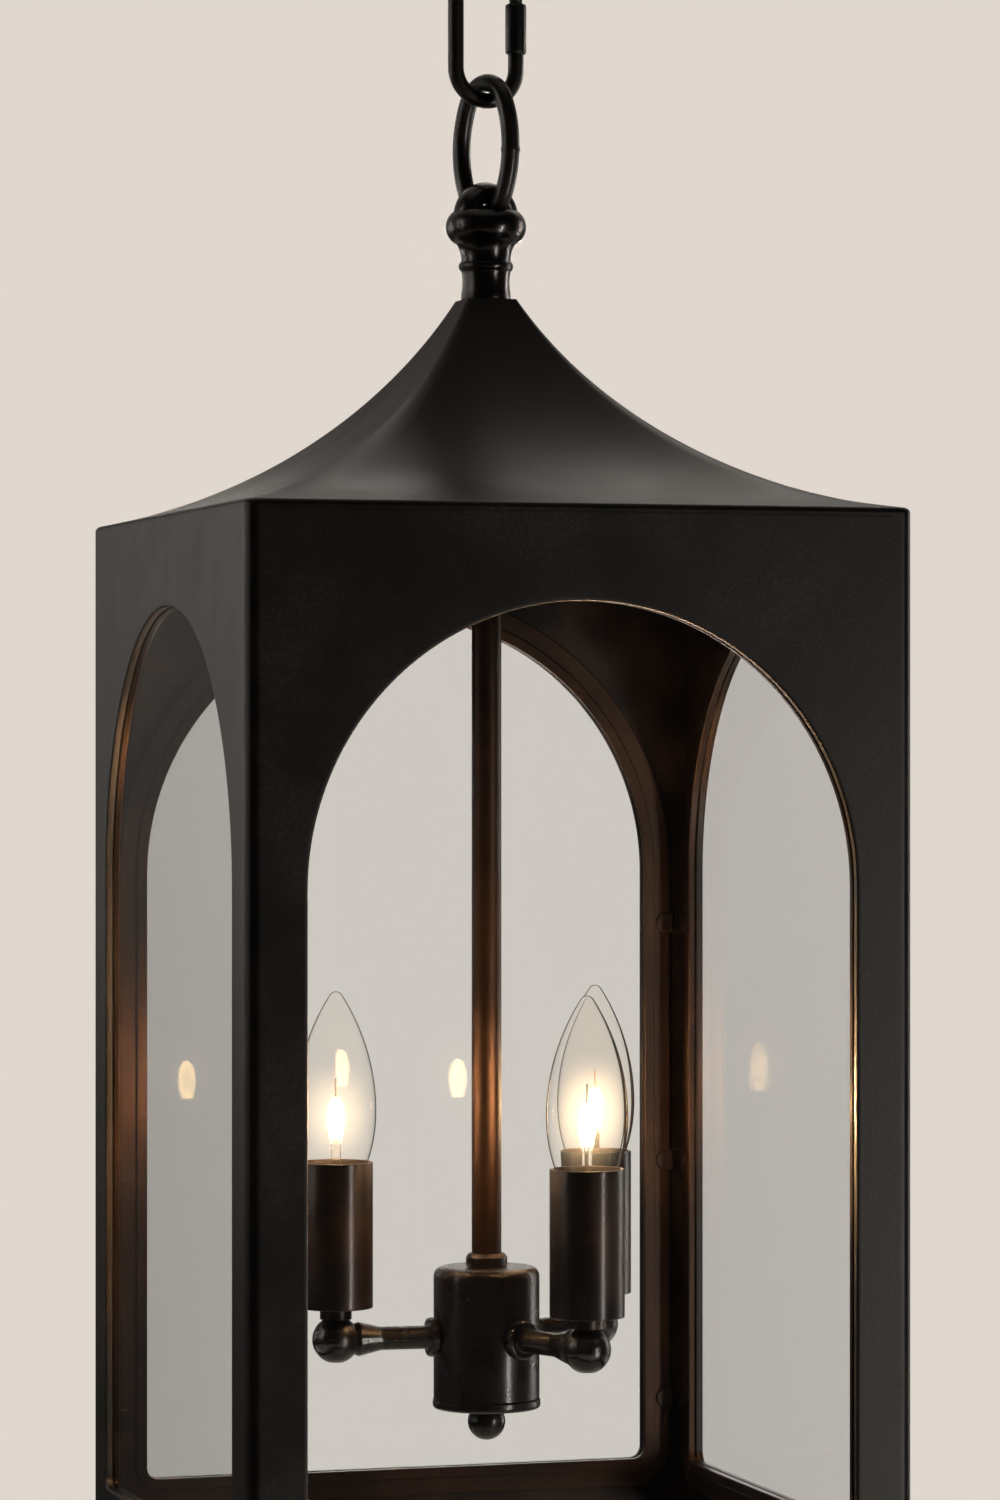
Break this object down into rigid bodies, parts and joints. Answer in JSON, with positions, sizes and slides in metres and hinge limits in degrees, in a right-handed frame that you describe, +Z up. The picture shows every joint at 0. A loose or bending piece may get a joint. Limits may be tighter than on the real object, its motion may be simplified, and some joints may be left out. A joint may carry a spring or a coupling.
{
  "type": "hanging_lantern",
  "caption": "Square hanging lantern in dark bronze with arched glazed sides, a concave pyramid roof, a loop finial on a chain link and quick link, and candle lights on a hub.",
  "frame": {"origin": "the point inside the quick link's upper bow that bears on the ceiling hook", "axes": "+Z up along the hanging line, +X to the right and +Y to the rear of the front window"},
  "size_m": [0.27, 0.27, 0.6718],
  "materials": {
    "dark_bronze": "satin",
    "chain_bronze": "satin",
    "plated_steel": "satin",
    "socket_brass": "satin",
    "holder_plastic": "matte",
    "lead_jacket": "matte",
    "clear_glass": "gloss",
    "bulb_glass": "gloss"
  },
  "bodies": {
    "hanger": {"quick_link": "chain_bronze"},
    "sleeve": {"quick_link_sleeve": "chain_bronze"},
    "link": {"chain_link": "chain_bronze"},
    "lantern": {"loop_finial": "dark_bronze", "roof": "dark_bronze", "pane_clips": "dark_bronze", "stem": "dark_bronze", "roof_washer": "plated_steel", "roof_nut": "plated_steel", "stem_collar": "dark_bronze", "hub_body": "dark_bronze", "hub_cap": "dark_bronze", "hub_finial": "dark_bronze", "arm_nuts": "plated_steel", "socket_nipples": "dark_bronze", "screw_shells": "socket_brass", "centre_contacts": "socket_brass", "lamp_leads": "lead_jacket", "front_wall": "dark_bronze", "front_pane": "clear_glass", "front_glazing_frame": "dark_bronze", "right_wall": "dark_bronze", "right_pane": "clear_glass", "right_glazing_frame": "dark_bronze", "rear_wall": "dark_bronze", "rear_pane": "clear_glass", "rear_glazing_frame": "dark_bronze", "left_wall": "dark_bronze", "left_pane": "clear_glass", "left_glazing_frame": "dark_bronze", "arm_1": "dark_bronze", "ball_elbow_1": "dark_bronze", "candle_sleeve_1": "dark_bronze", "lampholder_1": "holder_plastic", "arm_2": "dark_bronze", "ball_elbow_2": "dark_bronze", "candle_sleeve_2": "dark_bronze", "lampholder_2": "holder_plastic", "arm_3": "dark_bronze", "ball_elbow_3": "dark_bronze", "candle_sleeve_3": "dark_bronze", "lampholder_3": "holder_plastic"},
    "bulb_1": {"bulb_1_glass": "bulb_glass", "bulb_1_cap": "plated_steel", "bulb_1_mount": "bulb_glass"},
    "bulb_2": {"bulb_2_glass": "bulb_glass", "bulb_2_cap": "plated_steel", "bulb_2_mount": "bulb_glass"},
    "bulb_3": {"bulb_3_glass": "bulb_glass", "bulb_3_cap": "plated_steel", "bulb_3_mount": "bulb_glass"}
  },
  "joints": [
    {"name": "sleeve_slide", "type": "slide", "parent": "hanger", "child": "sleeve", "axis": [0, 0, 1], "range_m": [0, 0.0098]},
    {"name": "link_swing", "type": "hinge", "parent": "hanger", "child": "link", "pos_m": [0, 0, -0.06025], "axis": [0.9962, 0.0872, 0], "range_deg": [-45, 45]},
    {"name": "lantern_swing", "type": "hinge", "parent": "link", "child": "lantern", "pos_m": [0, 0, -0.1068], "axis": [0.342, -0.9397, 0], "range_deg": [-40, 40]},
    {"name": "bulb_1_lift", "type": "slide", "parent": "lantern", "child": "bulb_1", "axis": [0, 0, 1], "range_m": [0, 0.04]},
    {"name": "bulb_2_lift", "type": "slide", "parent": "lantern", "child": "bulb_2", "axis": [0, 0, 1], "range_m": [0, 0.04]},
    {"name": "bulb_3_lift", "type": "slide", "parent": "lantern", "child": "bulb_3", "axis": [0, 0, 1], "range_m": [0, 0.04]}
  ]
}
